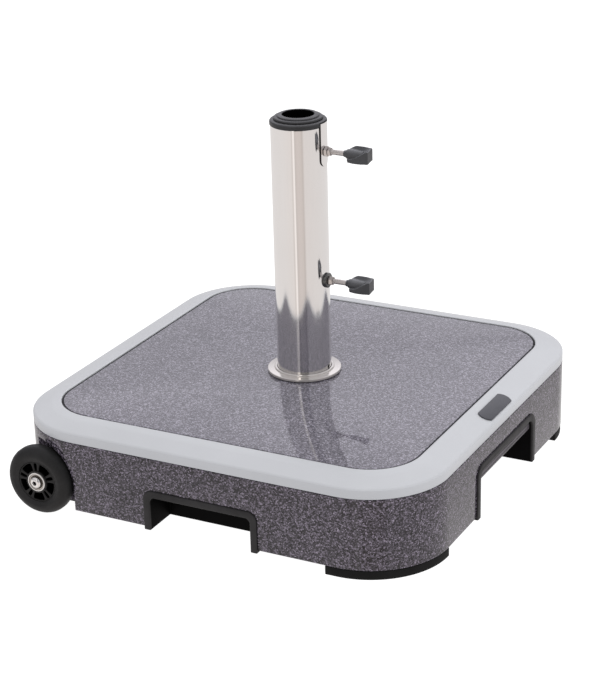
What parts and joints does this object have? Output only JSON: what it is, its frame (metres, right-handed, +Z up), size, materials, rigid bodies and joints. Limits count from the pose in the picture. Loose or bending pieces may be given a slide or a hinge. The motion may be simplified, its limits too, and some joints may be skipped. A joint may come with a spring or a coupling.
{
  "type": "parasol base",
  "caption": "Wheeled square granite parasol base with a light rim, steel pole tube with reducer sleeves and wing clamp screws, carry pockets and a pull grip.",
  "frame": {"origin": "on the ground under the pole tube's axis, the middle of the square base", "axes": "+Z up along the pole tube; -X towards the wheel side, +X towards the pull grip; -Y is the front carry pocket, +Y the rear one"},
  "size_m": [0.502, 0.5236, 0.415],
  "materials": {
    "granite_dark": "sawn and polished speckled granite",
    "granite_polished": "polished speckled granite",
    "rim_light_grey": "satin light grey",
    "seal_black": "matt",
    "badge_grey": "satin, plain",
    "liner_black": "fine texture",
    "grip_grey": "fine texture",
    "foot_black": "matt",
    "tyre_black": "satin polyurethane",
    "core_black": "moulded",
    "bearing_steel": "ground steel",
    "bolt_steel": "zinc plated",
    "dark_steel": "blackened steel",
    "anchor_brass": "turned",
    "tube_steel": "mirror-polished stainless steel",
    "cap_black": "satin",
    "screw_steel": "plain stainless",
    "knob_black": "satin",
    "pad_black": "satin"
  },
  "bodies": {
    "base": {"ballast_block": "granite_dark", "top_plate": "granite_polished", "rim_frame": "rim_light_grey", "joint_seal": "seal_black", "badge": "badge_grey", "carry_handle_liner_front": "liner_black", "carry_handle_liner_rear": "liner_black", "pull_handle_liner": "liner_black", "pull_grip_bar": "grip_grey", "corner_foot_front": "foot_black", "corner_foot_rear": "foot_black", "pole_tube": "tube_steel", "base_rosette": "tube_steel", "rosette_gasket": "seal_black", "tube_foot_plate": "dark_steel", "foot_plate_bolt_1": "bolt_steel", "foot_plate_bolt_2": "bolt_steel", "foot_plate_bolt_3": "bolt_steel", "foot_plate_bolt_4": "bolt_steel", "outer_reducer_sleeve": "cap_black", "middle_reducer_sleeve": "cap_black", "inner_reducer_sleeve": "cap_black", "upper_clamp_strap": "tube_steel", "upper_clamp_nut": "bolt_steel", "upper_lock_nut": "bolt_steel", "lower_saddle_washer": "dark_steel", "lower_clamp_nut": "bolt_steel", "bearing_inner_outboard_front": "bearing_steel", "bearing_inner_inboard_front": "bearing_steel", "axle_spacer_front": "dark_steel", "standoff_bush_front": "dark_steel", "axle_anchor_front": "anchor_brass", "axle_bolt_front": "bolt_steel", "bearing_inner_outboard_rear": "bearing_steel", "bearing_inner_inboard_rear": "bearing_steel", "axle_spacer_rear": "dark_steel", "standoff_bush_rear": "dark_steel", "axle_anchor_rear": "anchor_brass", "axle_bolt_rear": "bolt_steel"},
    "wheel_front": {"wheel_tyre_front": "tyre_black", "wheel_core_front": "core_black", "bearing_outer_outboard_front": "bearing_steel", "bearing_outer_inboard_front": "bearing_steel"},
    "wheel_rear": {"wheel_tyre_rear": "tyre_black", "wheel_core_rear": "core_black", "bearing_outer_outboard_rear": "bearing_steel", "bearing_outer_inboard_rear": "bearing_steel"},
    "upper_pad": {"upper_pressure_pad": "pad_black"},
    "upper_screw": {"upper_clamp_screw": "screw_steel", "upper_clamp_knob": "knob_black"},
    "lower_pad": {"lower_pressure_pad": "pad_black"},
    "lower_screw": {"lower_clamp_screw": "screw_steel", "lower_clamp_knob": "knob_black"}
  },
  "joints": [
    {"name": "wheel_front_spin", "type": "hinge", "parent": "base", "child": "wheel_front", "pos_m": [-0.2035, -0.247, 0.04], "axis": [0, 1, 0], "continuous": true},
    {"name": "wheel_rear_spin", "type": "hinge", "parent": "base", "child": "wheel_rear", "pos_m": [-0.2035, 0.247, 0.04], "axis": [0, 1, 0], "continuous": true},
    {"name": "upper_pad_travel", "type": "slide", "parent": "base", "child": "upper_pad", "axis": [-1, 0, 0], "range_m": [-0.0041, 0.0141]},
    {"name": "upper_screw_turn", "type": "hinge", "parent": "upper_pad", "child": "upper_screw", "pos_m": [0.056, 0, 0.3758], "axis": [-1, 0, 0], "range_deg": [-1440, 5040]},
    {"name": "lower_pad_travel", "type": "slide", "parent": "base", "child": "lower_pad", "axis": [-1, 0, 0], "range_m": [-0.0041, 0.0141]},
    {"name": "lower_screw_turn", "type": "hinge", "parent": "lower_pad", "child": "lower_screw", "pos_m": [0.056, 0, 0.225], "axis": [-1, 0, 0], "range_deg": [-1440, 5040]}
  ],
  "couplings": [
    {"joint": "upper_pad_travel", "follows": "upper_screw_turn", "m_per_rad": 0.00015915},
    {"joint": "lower_pad_travel", "follows": "lower_screw_turn", "m_per_rad": 0.00015915}
  ]
}
